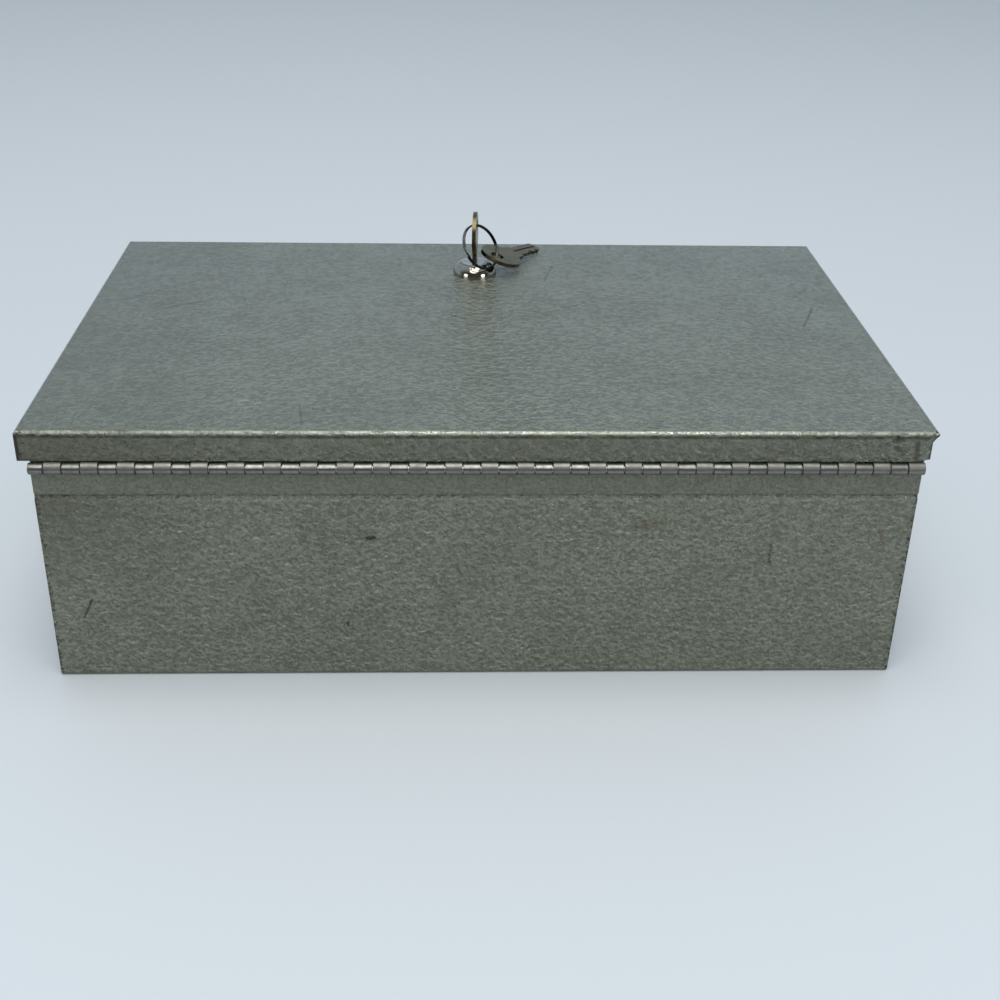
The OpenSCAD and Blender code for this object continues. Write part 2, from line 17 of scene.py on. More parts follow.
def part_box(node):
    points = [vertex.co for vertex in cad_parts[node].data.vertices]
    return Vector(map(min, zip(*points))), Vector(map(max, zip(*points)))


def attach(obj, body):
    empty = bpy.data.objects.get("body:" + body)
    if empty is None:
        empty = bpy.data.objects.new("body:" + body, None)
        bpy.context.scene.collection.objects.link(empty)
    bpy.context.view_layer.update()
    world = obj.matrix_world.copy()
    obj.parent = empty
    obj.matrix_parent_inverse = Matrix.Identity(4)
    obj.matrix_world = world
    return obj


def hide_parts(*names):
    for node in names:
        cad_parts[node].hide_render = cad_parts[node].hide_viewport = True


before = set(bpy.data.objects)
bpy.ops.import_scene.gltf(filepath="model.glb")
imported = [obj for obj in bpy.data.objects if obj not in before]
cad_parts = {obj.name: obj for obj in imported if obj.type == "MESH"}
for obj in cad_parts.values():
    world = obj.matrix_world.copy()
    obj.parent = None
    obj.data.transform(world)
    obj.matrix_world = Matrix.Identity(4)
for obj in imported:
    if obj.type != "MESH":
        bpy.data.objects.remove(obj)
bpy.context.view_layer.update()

# %% [markdown]
# The object is drawn in metres, but a maker of sheet-metal goods thinks in millimetres. MM turns
# one into the other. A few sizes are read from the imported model, so that what is made here follows
# the real walls, whatever their size.

# %% Sizes that everything else follows
MM = 0.001
lid_low, lid_high = (Vector(corner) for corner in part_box("lid_shell"))
wall_low, wall_high = (Vector(corner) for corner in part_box("body_wrap"))
pin_low, pin_high = (Vector(corner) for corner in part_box("hinge_pin"))
head_low, head_high = (Vector(corner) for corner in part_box("lock_housing"))
sheet = 0.9 * MM
lid_top = lid_high.z
lock_axis = Vector(((head_low.x + head_high.x) / 2, (head_low.y + head_high.y) / 2, lid_top))
pin_axis = (pin_low + pin_high) / 2
print("lid top", round(lid_top / MM, 2), "mm, lock axis", [round(v / MM, 2) for v in lock_axis])

# %% [markdown]
# ## Camera
#
# The photograph was taken from behind the box, a little above it. Its lens and place were worked
# out from the corners of the box, whose real sizes are known. A camera looks along its own -Z, so
# its matrix is made from three directions: right, up and backwards.

# %% Place the camera
camera_place = Vector((14.27, 547.22, 316.59)) * MM
camera_yaw = 0.04677
camera_pitch = 0.49569
camera_roll = 0.02194
focal_px = 1413.4
image_px = 1000

forward = Vector((-sin(camera_yaw) * cos(camera_pitch),
                  -cos(camera_yaw) * cos(camera_pitch),
                  -sin(camera_pitch)))
level_right = forward.cross(Vector((0, 0, 1))).normalized()
level_up = level_right.cross(forward)
right = level_right * cos(camera_roll) + level_up * sin(camera_roll)
up = level_up * cos(camera_roll) - level_right * sin(camera_roll)

lens = bpy.data.cameras.new("photo_camera")
lens.sensor_width = 36
lens.lens = focal_px / image_px * lens.sensor_width
camera = bpy.data.objects.new("photo_camera", lens)
bpy.context.scene.collection.objects.link(camera)
turn = Matrix((right, up, -forward)).transposed()
camera.matrix_world = Matrix.Translation(camera_place) @ turn.to_4x4()
bpy.context.scene.camera = camera
print("lens", round(lens.lens, 2), "mm")


# %% [markdown]
# ## Writing finishes as sums
#
# A finish is a small net of nodes. Joined by hand it is hard to read, so this class wraps one
# output of a node. Sums and products of wrapped outputs add the Math nodes, and a pattern reads
# like a formula.

# %% A number that varies over a surface
class Level:
    def __init__(self, finish, socket):
        self.finish = finish
        self.socket = socket

    def math(self, operation, *others):
        node = self.finish.node("ShaderNodeMath", {"operation": operation}, self, *others)
        return Level(self.finish, node.outputs[0])

    def __add__(self, other):
        return self.math("ADD", other)

    __radd__ = __add__

    def __sub__(self, other):
        return self.math("SUBTRACT", other)

    def __rsub__(self, other):
        return (self * -1) + other

    def __mul__(self, other):
        return self.math("MULTIPLY", other)

    __rmul__ = __mul__

    def __truediv__(self, other):
        return self.math("DIVIDE", other)

    def size(self):
        return self.math("ABSOLUTE")

    def lower(self, other):
        return self.math("MINIMUM", other)

    def higher(self, other):
        return self.math("MAXIMUM", other)

    def power(self, other):
        return self.math("POWER", other)

    def clamped(self):
        return self.higher(0).lower(1)


# %% [markdown]
# Nodes holds one net of nodes. Its node method adds any node: first the settings, such as a noise's
# type, then the values or links of its sockets. A Mix node has sockets for every kind of data, and
# those for colours are found by their numbers. The world's net is made with the same class.

# %% A net of nodes with a few words of its own
class Nodes:
    def __init__(self, tree, coordinates, scale):
        self.nodes = tree.nodes
        self.links = tree.links
        place = self.node("ShaderNodeTexCoord").outputs[coordinates]
        self.place = self.vector("SCALE", Vector=place, Scale=scale).outputs[0]
        parts = self.node("ShaderNodeSeparateXYZ", {}, self.place)
        self.x, self.y, self.z = (Level(self, part) for part in parts.outputs)

    def node(self, kind, settings=None, *values, **named):
        node = self.nodes.new(kind)
        for setting, value in (settings or {}).items():
            setattr(node, setting, value)
        for socket, value in zip(node.inputs, values):
            self.join(socket, value)
        for socket_name, value in named.items():
            self.join(node.inputs[socket_name], value)
        return node

    def vector(self, operation, *values, **named):
        return self.node("ShaderNodeVectorMath", {"operation": operation}, *values, **named)

    def join(self, socket, value):
        if isinstance(value, Level):
            value = value.socket
        if isinstance(value, bpy.types.NodeSocket):
            self.links.new(value, socket)
        else:
            socket.default_value = value

    def noise(self, size, detail=2.0, rough=0.5, stretch=(1, 1, 1), shift=0.0):
        """Cloudy noise whose lumps are about one size across."""
        where = self.node("ShaderNodeMapping", {}, Vector=self.place,
                          Location=(shift, shift, shift), Scale=stretch)
        node = self.node("ShaderNodeTexNoise", {}, Vector=where.outputs[0], Scale=1 / size,
                         Detail=detail, Roughness=rough)
        return Level(self, node.outputs[0])

    def ramp(self, level, low, high):
        """Rises smoothly from 0 at low to 1 at high."""
        smooth = {"interpolation_type": "SMOOTHSTEP"}
        return Level(self, self.node("ShaderNodeMapRange", smooth, level, low, high).outputs[0])

    def near(self, level, centre, full, gone):
        """1 up to a distance of full from the centre, and 0 from a distance of gone on."""
        return 1 - self.ramp((level - centre).size(), full, gone)

    def mix(self, level, first, second):
        node = self.node("ShaderNodeMix", {"data_type": "RGBA"}, level)
        first_colour, second_colour = 6, 7
        self.join(node.inputs[first_colour], first)
        self.join(node.inputs[second_colour], second)
        mixed_colour = 2
        return node.outputs[mixed_colour]


# %% [markdown]
# A Finish is a material with such a net. Its patterns read Object coordinates, so they stay on the
# metal when the lid turns, and they are measured in millimetres. What is the same all over a
# surface is set on the shader's own socket, and only what varies is linked.

# %% A finish
class Finish(Nodes):
    def __init__(self, name, **sockets):
        self.material = bpy.data.materials.new(name)
        self.material.use_nodes = True
        super().__init__(self.material.node_tree, "Object", 1 / MM)
        self.shader = self.nodes["Principled BSDF"]
        for socket, value in sockets.items():
            self.set(socket.replace("_", " "), value)

    def set(self, socket, value):
        self.join(self.shader.inputs[socket], value)

    def bump(self, height, depth):
        node = self.node("ShaderNodeBump", {}, Strength=1.0, Distance=depth * MM, Height=height)
        return node.outputs[0]

    def distance(self, start, end):
        """Distance from the line between two points, in millimetres."""
        away = self.vector("SUBTRACT", self.place, start).outputs[0]
        line = Vector(end) - Vector(start)
        along = self.vector("DOT_PRODUCT", away, line)
        share = (Level(self, along.outputs["Value"]) / line.length_squared).clamped()
        reached = self.vector("SCALE", line, Scale=share).outputs[0]
        length = self.vector("LENGTH", self.vector("SUBTRACT", away, reached).outputs[0])
        return Level(self, length.outputs["Value"])


def grey(level, warm=0.0, green=0.0):
    """A grey colour. Warm trades blue for red, and green adds a little green."""
    return (level * (1 + warm), level * (1 + green), level * (1 - warm), 1)


# %% [markdown]
# ## Hammered grey paint
#
# The box was sprayed with grey hammertone enamel. As it dries it draws into small shallow pits
# with soft ridges between them, one or two millimetres across. The ridges are painted paler, a
# painted highlight of the light that the relief catches, so the height feeds both the bump and the
# colour. The colour also gets a fine pale speckle that is partly grain and partly painted glints,
# dark specks of painted shade in the pits, faint clouds and stains. A Voronoi pattern makes the
# pits, and noise bends its cells so that no two look alike. The flakes of aluminium in the paint
# shine like metal through its clear part, so the coat is half metallic.

# %% The enamel's relief, colour and gloss
ENAMEL = (0.14, 0.154, 0.117, 1)
# the pale colour of the painted highlights and glints on the relief
ENAMEL_HIGHLIGHT = (0.27, 0.285, 0.24, 1)
# a dark colour for dirt and stains, and also for painted shade
ENAMEL_DIRT_AND_SHADE = (0.068, 0.068, 0.05, 1)
FLAKE_SHINE = 0.5


def enamel(finish, pit):
    """Returns the colour with its painted glints and shade, the roughness and the height of a coat
    of hammered enamel.
    """
    wander = finish.noise(2.4, 2.0)
    bent = finish.vector("ADD", finish.place, wander * 2.2)
    pits = finish.node("ShaderNodeTexVoronoi", {"feature": "SMOOTH_F1"}, Vector=bent.outputs[0],
                       Scale=1 / pit, Smoothness=0.5)
    waves = finish.noise(pit * 1.3, 3.0, 0.55, shift=5)
    grain = finish.noise(0.55, 2.0, 0.6)
    height = Level(finish, pits.outputs["Distance"]) * 0.45 + waves + grain * 0.22
    # pale speckle: partly grain of the paint, partly painted glints
    speckle_and_glints = finish.ramp(finish.noise(0.9, 3.0, 0.7, shift=20), 0.42, 0.72)
    # dark specks: painted shade in the pits
    shaded_pits = finish.ramp(finish.noise(1.1, 3.0, 0.65, shift=60), 0.56, 0.7)
    clouds = finish.ramp(finish.noise(34.0, 4.0, 0.65), 0.38, 0.68)
    stains = finish.ramp(finish.noise(13.0, 5.0, 0.7, shift=40), 0.56, 0.74)
    # the ridges painted paler: a painted highlight where the relief faces the light
    lit_ridges = finish.ramp(height, 0.7, 0.96)
    colour = finish.mix(speckle_and_glints * 0.45 + lit_ridges * 0.4, ENAMEL, ENAMEL_HIGHLIGHT)
    colour = finish.mix(shaded_pits * 0.5, colour, ENAMEL_DIRT_AND_SHADE)
    colour = finish.mix(clouds * 0.16 + stains * 0.14, colour, ENAMEL_DIRT_AND_SHADE)
    return colour, speckle_and_glints * -0.05 + clouds * 0.06 + 0.22, height


# %% [markdown]
# Years of handling left scratches, rubbed dark spots and chips, and one long pale mark is a
# painted highlight. Each is a short line on the surface with a width, a strength and a shade, and
# a ragged edge. The coat comes back with its colour, roughness and height, because the wear of each
# part changes them before they are linked.

# %% The coat with its marks
def painted(name, pit, gloss, coat, marks):
    finish = Finish(name, Coat_Weight=coat, Coat_Roughness=0.08, Specular_IOR_Level=0.3)
    colour, rough, height = enamel(finish, pit)
    ragged = finish.noise(1.1, 3.0, 0.7, shift=9)
    for start, end, width, strength, shade in marks:
        edge = finish.distance(start, end) + (ragged - 0.5) * width * 2
        worn = (1 - finish.ramp(edge, width * 0.5, width * 1.2)) * strength
        colour = finish.mix(worn, colour, grey(*shade))
    return finish, colour, rough - gloss, height


# %% [markdown]
# The marks on the rear wall, the lid's top and its rear flange, in millimetres: where each starts
# and ends, how wide it is, how strong, and its shade as a grey with a warm and a green tint. The
# long faint pale one on the wall is a painted highlight along the line below the hinge strip, and
# the two black ones on the lid run down its dented corner.

# %% Marks of use
rear_face = wall_high.y / MM
top_face = lid_top / MM
DARK = (0.022, 0.2, 0.1)
RUST = (0.07, 0.35, 0.1)
BLACK = (0.012, 0.1, 0.1)
PALE = (0.55, 0.05, 0.05)


def on_wall(x, z, to_x, to_z, width, strength, shade=DARK):
    return (x, rear_face, z), (to_x, rear_face, to_z), width, strength, shade


def on_lid(x, y, to_x, to_y, width, strength, shade=DARK):
    return (x, y, top_face), (to_x, to_y, top_face), width, strength, shade


def on_flange(x, z, to_x, to_z, width, strength, shade=DARK):
    return (x, lid_high.y / MM, z), (to_x, lid_high.y / MM, to_z), width, strength, shade


wall_marks = [
    on_wall(146.5, 26.2, 143.0, 33.7, 0.5, 0.7),
    # a painted highlight along the edge of the paint below the hinge strip
    on_wall(156.0, 75.4, -156.0, 75.4, 0.9, 0.07, PALE),
    on_wall(41.2, 59.7, 38.8, 60.0, 0.9, 0.9),
    on_wall(49.4, 23.2, 49.4, 22.2, 0.7, 0.8),
    on_wall(-57.0, 65.0, -65.5, 65.3, 2.6, 0.42, RUST),
    on_wall(-106.7, 56.6, -106.8, 49.4, 0.6, 0.5),
    on_wall(-146.4, 62.9, -148.8, 56.6, 1.2, 0.45, RUST),
    on_wall(-148.8, 78.7, -149.2, 78.5, 0.7, 0.9, PALE),
    on_wall(-153.8, 76.7, -154.0, 76.6, 0.6, 0.9, PALE)]
lid_marks = [
    on_lid(82.9, -45.4, 83.1, -45.2, 0.8, 0.9),
    on_lid(9.6, -8.8, 8.6, -8.9, 0.9, 0.9),
    on_lid(-36.9, -20.1, -42.6, -21.4, 1.1, 0.6, RUST),
    on_lid(148.9, -25.6, 136.0, -38.1, 0.9, 0.25),
    on_lid(136.0, -38.1, 120.7, -51.1, 0.9, 0.25),
    on_lid(120.7, -51.1, 96.6, -58.2, 0.9, 0.2),
    on_lid(135.7, -12.8, 120.7, -22.5, 0.9, 0.25),
    on_lid(120.7, -22.5, 100.6, -30.1, 0.9, 0.2),
    on_lid(158.6, 45.7, 140.2, 55.1, 0.5, 0.3),
    on_lid(125.2, 45.4, 121.1, 54.0, 0.5, 0.3),
    on_lid(-144.6, -20.5, -136.0, 1.8, 0.6, 0.55),
    on_lid(-139.0, -32.6, -148.1, -45.5, 0.6, 0.35),
    on_lid(-31.2, -51.2, -36.3, -72.9, 0.6, 0.35),
    on_lid(65.2, 82.4, 63.5, 97.4, 0.6, 0.4),
    ((-161.7, 102.3, 101.0), (-160.8, 101.2, 98.6), 1.0, 1.0, BLACK),
    ((-160.8, 101.2, 98.6), (-160.6, 101.0, 91.6), 1.0, 1.0, BLACK),
    on_flange(-147.0, 101.3, -147.0, 100.6, 0.9, 0.95),
    on_flange(-145.5, 99.6, -149.0, 99.9, 0.8, 0.5),
    on_flange(-147.2, 96.8, -149.8, 95.0, 1.1, 0.6),
    on_flange(-154.6, 98.6, -154.6, 93.2, 1.2, 0.65),
    on_flange(-153.9, 101.0, -158.2, 100.4, 0.7, 0.6),
    on_flange(160.4, 101.2, 158.8, 101.2, 0.6, 0.95),
    on_flange(157.3, 101.2, 154.4, 101.3, 0.7, 0.95),
    on_flange(152.0, 101.2, 150.2, 101.2, 0.6, 0.9),
    on_flange(160.0, 91.8, 155.0, 91.9, 0.5, 0.8)]

print("marks:", len(wall_marks), "on the wall,", len(lid_marks), "on the lid")

# %% [markdown]
# Bends and corners are what a hand or a shelf rubs first. Along the bends of the lid the paint is
# thin and shiny, and their paler colour is both that rubbed paint and a painted highlight,
# brightest in the middle. Just below the bends a darker line is painted. The lid's upright corners
# are bare and dark, and all corners have chipped in small dark specks. Distances from the faces of
# the part's box place all of this.

# %% How far a point lies from the faces of a box
def from_sides(finish, low, high):
    side = (finish.x - (low.x + high.x) / 2).size() * -1 + (high.x - low.x) / 2
    end = (finish.y - (low.y + high.y) / 2).size() * -1 + (high.y - low.y) / 2
    return side, end


def chipped(finish, side, end, reach):
    near = 1 - ((side + end) / reach).clamped()
    return finish.ramp(near * 0.42 + finish.noise(1.5, 4.0, 0.7, shift=3), 0.86, 0.93)


# %% Wear and a painted highlight along the lid's bends
RUBBED_AND_HIGHLIT = (0.58, 0.59, 0.5, 1)
lid_relief = 1.8
bend_height = 0.4
dark_line_drop = 2.1
rubbed_and_highlit_at = -25
rubbed_and_highlit_reach = 120
lid_paint, colour, rough, height = painted("lid_paint", 2.0, 0.05, 0.12, lid_marks)
side, end = from_sides(lid_paint, lid_low / MM, lid_high / MM)
drop = lid_paint.z * -1 + lid_top / MM
edge = side.lower(end)
patches = lid_paint.ramp(lid_paint.noise(5.0, 4.0, 0.65, shift=14), 0.4, 0.62)
bend_line = 1 - lid_paint.ramp((drop - bend_height).size() + (edge - bend_height).size(), 0.3, 1.2)
dark_line_below_bend = lid_paint.near(drop, dark_line_drop, 0.3, 1.1) * (1 - lid_paint.ramp(edge, 0.3, 1.2))
rubbed_and_highlit = lid_paint.near(lid_paint.x, rubbed_and_highlit_at, 30, rubbed_and_highlit_reach)
# the bends painted paler: rubbed paint and a painted highlight, brightest in the middle
colour = lid_paint.mix(bend_line * (patches * 0.35 + rubbed_and_highlit * 0.35 + 0.2), colour, RUBBED_AND_HIGHLIT)
# a darker line painted just below the bends
colour = lid_paint.mix(dark_line_below_bend * (patches * 0.5 + 0.4), colour, ENAMEL_DIRT_AND_SHADE)
print("rubbed most within", rubbed_and_highlit_reach, "mm of x", rubbed_and_highlit_at)

# %% Wear, dirt and painted shade of the lid's flanges and corners
flange = lid_paint.ramp(drop, 1.6, 2.6)
shaded_end = lid_paint.ramp(lid_paint.x, 70, 170)
corner = (1 - lid_paint.ramp(side + end, 0.9, 1.7)) * lid_paint.ramp(drop, 0.9, 1.8)
# the flanges darker: dirt from handling and a painted shade
colour = lid_paint.mix(flange * 0.34, colour, ENAMEL_DIRT_AND_SHADE)
# darker towards the +X end: a painted shade
colour = lid_paint.mix(shaded_end * (flange * 0.16 + 0.24), colour, ENAMEL_DIRT_AND_SHADE)
colour = lid_paint.mix(corner * 0.92, colour, grey(0.012))
colour = lid_paint.mix(chipped(lid_paint, side, end, 9) * 0.9, colour, grey(*DARK))
lid_paint.set("Base Color", colour)
lid_paint.set("Roughness", rough - bend_line * 0.04 + corner * 0.5)
lid_paint.set("Metallic", bend_line * rubbed_and_highlit * 0.3 - corner * 0.5 + FLAKE_SHINE)
smoothed = bend_line * -0.3 - flange * 0.3 + 1
lid_paint.set("Normal", lid_paint.bump(height * smoothed, lid_relief))
print("paint:", lid_paint.material.name)

# %% Wear of the body, with a painted shade at its upper +X end
body_relief = 1.7
body_paint, colour, rough, height = painted("body_paint", 1.7, 0.03, 0.0, wall_marks)
side, end = from_sides(body_paint, wall_low / MM, wall_high / MM)
# darker towards the upper +X end: a painted shade
shaded_upper_end = body_paint.ramp(body_paint.x, 80, 165) * body_paint.ramp(body_paint.z, 30, 80)
colour = body_paint.mix(shaded_upper_end * 0.5, colour, ENAMEL_DIRT_AND_SHADE)
colour = body_paint.mix(chipped(body_paint, side, end, 6) * 0.8, colour, grey(*DARK))
body_paint.set("Base Color", colour)
body_paint.set("Roughness", rough)
body_paint.set("Metallic", FLAKE_SHINE)
body_paint.set("Normal", body_paint.bump(height, body_relief))
print("paint:", body_paint.material.name)


# %% [markdown]
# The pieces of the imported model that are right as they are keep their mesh, and only get a finish.

# %% Give a CAD node its finish
def dress(finish, *nodes):
    for name in nodes:
        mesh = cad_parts[name].data
        mesh.materials.clear()
        mesh.materials.append(finish.material)


dress(body_paint, "body_wrap", "end_panel_left", "end_panel_right")

# %% [markdown]
# ## Bare metals
#
# Inside the lock and under the lid the steel is plated with zinc, the tumblers are brass, the
# lock's head is chromed, and the keys have gone brown with age. Metals differ only in their tint
# and their gloss, so one function makes them all. Slow noise dulls the metal in patches, and fine
# noise gives it spots and a slight grain.

# %% Metals
def plain_metal(name, colour, dull, rough, uneven=0.12):
    finish = Finish(name, Metallic=1.0)
    spots = finish.noise(0.8, 3.0, 0.6)
    patches = finish.noise(6.0, 3.0, 0.6)
    dulled = finish.ramp(patches, 0.35, 0.7) * 0.6 + spots * 0.25
    finish.set("Base Color", finish.mix(dulled, colour, dull))
    finish.set("Roughness", patches * uneven + rough)
    finish.set("Normal", finish.bump(spots, 0.01))
    return finish


zinc_steel = plain_metal("zinc_steel", grey(0.6, -0.01, 0.0), grey(0.38, 0.02, 0.01), 0.3)
chrome = plain_metal("lock_chrome", (0.38, 0.365, 0.325, 1), (0.24, 0.23, 0.2, 1), 0.03, 0.02)
lock_brass = plain_metal("lock_brass", (0.6, 0.5, 0.26, 1), (0.35, 0.28, 0.15, 1), 0.25)
plug_finish = plain_metal("plug_face", grey(0.5, 0.02, 0.01), grey(0.3, 0.04, 0.02), 0.2)
key_metal = plain_metal("key_metal", (0.155, 0.13, 0.062, 1), (0.07, 0.058, 0.03, 1), 0.24)
dark_steel = plain_metal("dark_steel", grey(0.055), grey(0.02), 0.13)
print("finishes so far:", len(bpy.data.materials))

# %% Finishes of the hidden pieces
dress(zinc_steel, "hinge_pin", "strike_plate", "lock_washer", "lock_nut", "stop_washer", "lock_cam",
      "cam_screw", "tumbler_springs")
dress(plug_finish, "lock_plug")
dress(lock_brass, "tumbler_1", "tumbler_2", "tumbler_3", "tumbler_4", "tumbler_5")
dress(dark_steel, "cam_spring_washer")


# %% [markdown]
# ## From a bmesh to a piece
#
# Each new piece is drawn as a bmesh. This helper shades its gentle bends smooth and its sharp
# edges sharp, gives it a finish, lets it ride on the body that carries it, and hides the CAD node
# that it stands for.

# %% A helper that turns a bmesh into a piece
def make_piece(name, bm, finish, body, node):
    for face in bm.faces:
        face.smooth = True
    for edge in bm.edges:
        edge.smooth = edge.calc_face_angle(0) < radians(38)
    mesh = bpy.data.meshes.new(name)
    bm.to_mesh(mesh)
    bm.free()
    mesh.materials.append(finish.material)
    piece = bpy.data.objects.new(name, mesh)
    bpy.context.scene.collection.objects.link(piece)
    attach(piece, body)
    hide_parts(node)
    print(name, len(mesh.polygons), "faces")
    return piece


# %% [markdown]
# No real edge is quite sharp. A Bevel modifier rounds those that turn by more than a given angle.

# %% Edges that aren't quite sharp
worn_edge = 0.22 * MM
cut_edge = 0.1 * MM


def round_edges(piece, width, segments=2, angle=40):
    bevel = piece.modifiers.new("rounded edges", "BEVEL")
    bevel.width = width
    bevel.segments = segments
    bevel.limit_method = "ANGLE"
    bevel.angle_limit = radians(angle)
    bevel.harden_normals = True


# %% [markdown]
# ## Lid
#
# The lid is one sheet, folded down on four sides. It starts as a block without its underside, and
# its top edges are bevelled into bends. Thickness comes last, from a Solidify modifier, so that
# the inside follows every bend and dent.

# %% The folded sheet
bend = 1.3 * MM
seam = 0.25 * MM
bm = bmesh.new()
bmesh.ops.create_cube(bm, size=1)
bmesh.ops.scale(bm, vec=lid_high - lid_low, verts=bm.verts)
bmesh.ops.translate(bm, vec=(lid_high + lid_low) / 2, verts=bm.verts)
underside = [face for face in bm.faces if face.normal.z < -0.5]
bmesh.ops.delete(bm, geom=underside, context="FACES_ONLY")
top_edges = [edge for edge in bm.edges if all(abs(v.co.z - lid_top) < 1e-6 for v in edge.verts)]
bmesh.ops.bevel(bm, geom=top_edges, offset=bend, offset_type="OFFSET", affect="EDGES",
                segments=5, profile=0.5, material=-1)
print("lid bends:", len(top_edges))

# %% [markdown]
# The corners are butted, not folded round: each side flange ends beside the rear or front flange
# with a narrow open seam. Four cuts across each side flange free that strip of sheet. More cuts
# near one rear corner give a dent something to move.

# %% Open seams at the corners
def cut_across(bm, axis, places):
    for place in places:
        point = Vector((0, 0, 0))
        point[axis] = place
        normal = Vector((0, 0, 0))
        normal[axis] = 1
        everything = bm.verts[:] + bm.edges[:] + bm.faces[:]
        bmesh.ops.bisect_plane(bm, geom=everything, plane_co=point, plane_no=normal, dist=1e-6)


front_seam = (lid_low.y + sheet, lid_low.y + sheet + seam)
rear_seam = (lid_high.y - sheet - seam, lid_high.y - sheet)
cut_across(bm, 1, front_seam + rear_seam)
seam_top = lid_top - bend
for outer in (-lid_high.x, lid_high.x):
    strips = []
    for face in bm.faces:
        middle = face.calc_center_median()
        in_seam = any(start < middle.y < stop for start, stop in (front_seam, rear_seam))
        if in_seam and middle.z < seam_top and abs(middle.x - outer) < 1e-5:
            strips.append(face)
    bmesh.ops.delete(bm, geom=strips, context="FACES")

# %% Cuts for the dent
dent_reach = 18 * MM
dent_cuts = 8
flange_cuts = 6
near_corner = lid_low.x + 2.2 * MM
cut_across(bm, 0, [lid_low.x + dent_reach * (i + 0.5) / dent_cuts for i in range(dent_cuts)])
cut_across(bm, 0, [near_corner])
cut_across(bm, 1, [lid_high.y - dent_reach * (i + 0.7) / dent_cuts for i in range(dent_cuts)])
flange_drop = seam_top - lid_low.z
cut_across(bm, 2, [lid_low.z + flange_drop * i / flange_cuts for i in range(1, flange_cuts)])
print("lid faces after the cuts:", len(bm.faces))

# %% [markdown]
# The box was once dropped on its rear corner, which pushed both flanges inwards below the bend.
# Each point moves by how near it is to that corner. The rear flange gives way only close to it.

# %% Dent one rear corner
def fade(distance, reach):
    share = max(0.0, 1 - distance / reach)
    return share * share * (3 - 2 * share)


dent_depth = 1.5 * MM
rear_dent_depth = 1.15 * dent_depth
rear_dent_reach = 4.5 * MM
rear_dent_width = 8 * MM
stiff_bend = 0.8 * MM
fully_sunk = 4 * MM
for v in bm.verts:
    along_x = v.co.x - lid_low.x
    along_y = lid_high.y - v.co.y
    below_bend = max(0, lid_top - v.co.z - stiff_bend)
    sunk = 1 - fade(below_bend, fully_sunk)
    near = fade(along_x, dent_reach) * fade(along_y, dent_reach)
    near_rear = fade(along_x, rear_dent_reach) * fade(along_y, rear_dent_width)
    v.co.x += dent_depth * near * sunk
    v.co.y -= rear_dent_depth * near_rear * sunk
lid = make_piece("lid_sheet", bm, lid_paint, "lid", "lid_shell")
thicken = lid.modifiers.new("sheet", "SOLIDIFY")
thicken.thickness = sheet
thicken.offset = -1
thicken.use_even_offset = True
print("dent:", round(dent_depth / MM, 2), "mm deep at the side")

# %% [markdown]
# The lock's barrel has two flats, and so has its hole, which keeps the lock from turning. A
# cutter of that shape is taken away from the lid, and then the cutter itself goes.

# %% Hole for the lock
barrel_r = 8.0 * MM
barrel_flats = 14.4 * MM
hole_fit = 0.15 * MM


def keep_between_flats(bm, centre_x, flats):
    for side in (-1, 1):
        cut = bmesh.ops.bisect_plane(bm, geom=bm.verts[:] + bm.edges[:] + bm.faces[:],
                                     plane_co=(centre_x + side * flats / 2, 0, 0),
                                     plane_no=(side, 0, 0), clear_outer=True)
        rim = [edge for edge in cut["geom_cut"] if isinstance(edge, bmesh.types.BMEdge)]
        bmesh.ops.holes_fill(bm, edges=rim)


bm = bmesh.new()
bmesh.ops.create_cone(bm, cap_ends=True, segments=48, radius1=barrel_r + hole_fit,
                      radius2=barrel_r + hole_fit, depth=8 * MM)
bmesh.ops.translate(bm, vec=lock_axis, verts=bm.verts)
keep_between_flats(bm, lock_axis.x, barrel_flats + 2 * hole_fit)
cutter_mesh = bpy.data.meshes.new("cutter")
bm.to_mesh(cutter_mesh)
bm.free()
cutter = bpy.data.objects.new("cutter", cutter_mesh)
bpy.context.scene.collection.objects.link(cutter)
hole = lid.modifiers.new("lock hole", "BOOLEAN")
hole.operation = "DIFFERENCE"
hole.object = cutter
bpy.context.view_layer.update()
whole = bpy.data.meshes.new_from_object(lid.evaluated_get(bpy.context.evaluated_depsgraph_get()))
lid.modifiers.clear()
lid.data = whole
bpy.data.objects.remove(cutter)
round_edges(lid, worn_edge)
print("lid with its hole:", len(lid.data.polygons), "faces")

# %% [markdown]
# ## Hinge
#
# A continuous hinge is two strips of thin steel. Tabs along one edge of each are rolled round a
# long pin, and the tabs of one strip fill the gaps of the other. Every tab is rolled here as the
# machine does it: the strip's edge is spun about the pin until it nearly meets the strip again.
# The lid's tabs came out slightly oval, and reach up to the flange above them.

# %% Sizes of the hinge
pitch = 6.35 * MM
tab_gap = 0.3 * MM
leaf = 0.8 * MM
bore = 1.3 * MM
barrel = bore + leaf
notch = barrel + 0.3 * MM
strip_end = wall_high.x
tabs = 50
roll = radians(318)
roll_steps = 22
fold = 0.7 * MM


def tab_span(i):
    start = -strip_end + i * pitch + tab_gap / 2
    return start, min(start + pitch - tab_gap, strip_end)


# %% [markdown]
# The strip is drawn flat, as faces between upright lines at the ends of all tabs: low faces run
# the whole length, and a high face stands at each of the strip's own tabs. An extrusion gives it
# its thickness, and the end faces of the tabs are then spun round the pin. Rises tells which way
# the strip stands from the pin, and tall how much higher than round its tabs are.

